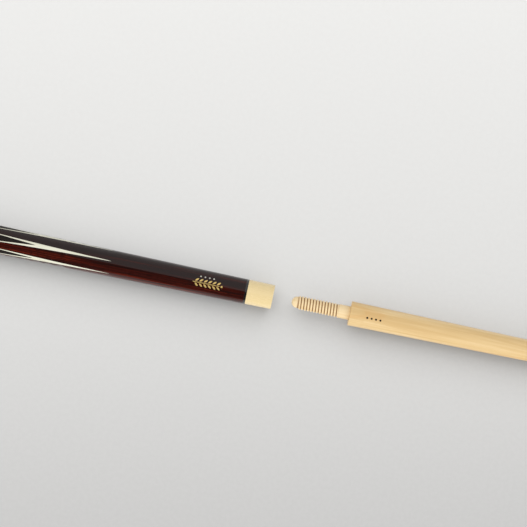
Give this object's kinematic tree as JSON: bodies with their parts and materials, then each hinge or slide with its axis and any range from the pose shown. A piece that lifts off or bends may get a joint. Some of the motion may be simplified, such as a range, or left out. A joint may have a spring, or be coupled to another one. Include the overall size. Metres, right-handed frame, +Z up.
{
  "type": "billiard cue",
  "caption": "Wood-jointed carom cue in two halves: rosewood butt with inlaid points, linen wrap and rubber bumper, and a maple shaft with a threaded wooden pin and leather tip.",
  "frame": {"origin": "centre of the bumper's flat end face, at the thick end of the butt", "axes": "+X along the cue from the bumper to the tip, +Z up through the top of the cue where the sprig of leaves faces, +Y to the left of that; the cue is round, so only the inlays tell +Y from +Z"},
  "size_m": [1.4719, 0.032, 0.032],
  "materials": {
    "rosewood": "glossy lacquer over dark red-brown rosewood",
    "maple": "satin lacquer over pale straight-grained maple",
    "maple_screw": "oiled hard maple, cut thread a little darker",
    "handle_maple": "bare turned maple, hidden under the wrap",
    "ebony": "black ebony, polished with the forearm",
    "white_veneer": "white dyed veneer under lacquer",
    "cream_resin": "polished cream ivory substitute",
    "black_phenolic": "polished black phenolic",
    "brown_phenolic": "machined brown laminated phenolic",
    "dot_white": "white resin dots, polished flush",
    "dot_black": "black resin dots, polished flush",
    "gilt": "gilt inlay, polished",
    "silver": "polished nickel silver ring",
    "brass": "turned brass",
    "steel": "zinc plated steel",
    "linen": "tightly wound black Irish linen, pressed smooth",
    "rubber": "black rubber",
    "ferrule_white": "polished white resin",
    "fibre": "black vulcanised fibre",
    "leather": "layered pigskin, chalked blue"
  },
  "bodies": {
    "butt": {"joint_collar": "cream_resin", "collar_ring": "black_phenolic", "thread_insert": "brown_phenolic", "forearm": "rosewood", "point_veneers": "white_veneer", "point_cores": "ebony", "forearm_dots": "dot_white", "emblem": "gilt", "a_joint_stud": "steel", "upper_ring_front": "black_phenolic", "upper_ring_metal": "silver", "upper_ring_rear": "black_phenolic", "handle": "handle_maple", "wrap": "linen", "lower_ring_front": "black_phenolic", "lower_ring_metal": "silver", "lower_ring_rear": "black_phenolic", "butt_sleeve": "rosewood", "sleeve_ring": "cream_resin", "butt_cap": "black_phenolic", "butt_bush": "brass"},
    "tip_end": {"ferrule": "ferrule_white", "tip_pad": "fibre", "cue_tip": "leather"},
    "shaft": {"shaft": "maple", "joint_pin": "maple_screw", "shaft_dots": "dot_black"},
    "bumper_end": {"bumper": "rubber", "bumper_washer": "steel"},
    "bumper_bolt": {"bumper_bolt": "steel"},
    "weight": {"weight_bolt": "steel"}
  },
  "joints": [
    {"name": "shaft_advance", "type": "slide", "parent": "butt", "child": "tip_end", "axis": [-1, 0, 0], "range_m": [0, 0.06887]},
    {"name": "shaft_turn", "type": "hinge", "parent": "tip_end", "child": "shaft", "pos_m": [0.79, 0, 0], "axis": [-1, 0, 0], "range_deg": [0, 9391.1]},
    {"name": "bumper_advance", "type": "slide", "parent": "butt", "child": "bumper_end", "axis": [-1, 0, 0], "range_m": [0, 0.012]},
    {"name": "bumper_bolt_turn", "type": "hinge", "parent": "bumper_end", "child": "bumper_bolt", "pos_m": [0.01, 0, 0], "axis": [-1, 0, 0], "range_deg": [0, 2880.1]},
    {"name": "weight_slide", "type": "slide", "parent": "butt", "child": "weight", "axis": [1, 0, 0], "range_m": [0, 0.022]}
  ],
  "couplings": [
    {"joint": "shaft_turn", "follows": "shaft_advance", "rad_per_m": 2380},
    {"joint": "bumper_bolt_turn", "follows": "bumper_advance", "rad_per_m": 4188.8}
  ]
}
